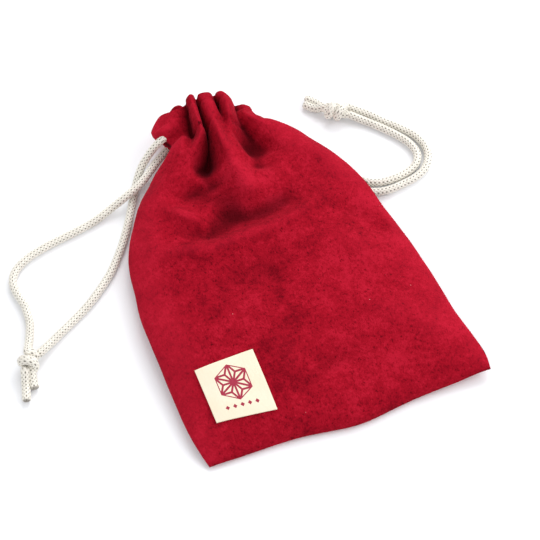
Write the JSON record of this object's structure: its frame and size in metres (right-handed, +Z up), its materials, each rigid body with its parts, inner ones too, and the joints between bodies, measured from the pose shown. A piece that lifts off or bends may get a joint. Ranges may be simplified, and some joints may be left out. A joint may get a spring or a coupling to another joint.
{
  "type": "drawstring pouch",
  "caption": "Small flat suede-like drawstring pouch lying on its back, its neck gathered shut by two round cords that end in knots, with a sewn-on label.",
  "frame": {"origin": "middle of the pouch's own box on the surface it lies on, without the free cords", "axes": "+X along the hem to the wearer's right seen from above, +Y from the hem to the drawn mouth, +Z up through the front panel"},
  "size_m": [0.1774, 0.1448, 0.0227],
  "materials": {
    "crimson_suede": "brushed microsuede with a short soft nap",
    "cream_label": "smooth closely woven tape with matt print",
    "white_cord": "matt knitted cord"
  },
  "bodies": {
    "root": {"pouch_body": "crimson_suede", "label": "cream_label", "left_casing_run": "white_cord", "right_casing_run": "white_cord", "left_strand_front": "white_cord", "left_strand_back": "white_cord", "left_knot": "white_cord", "right_strand_front": "white_cord", "right_strand_back": "white_cord", "right_knot": "white_cord"}
  },
  "joints": []
}
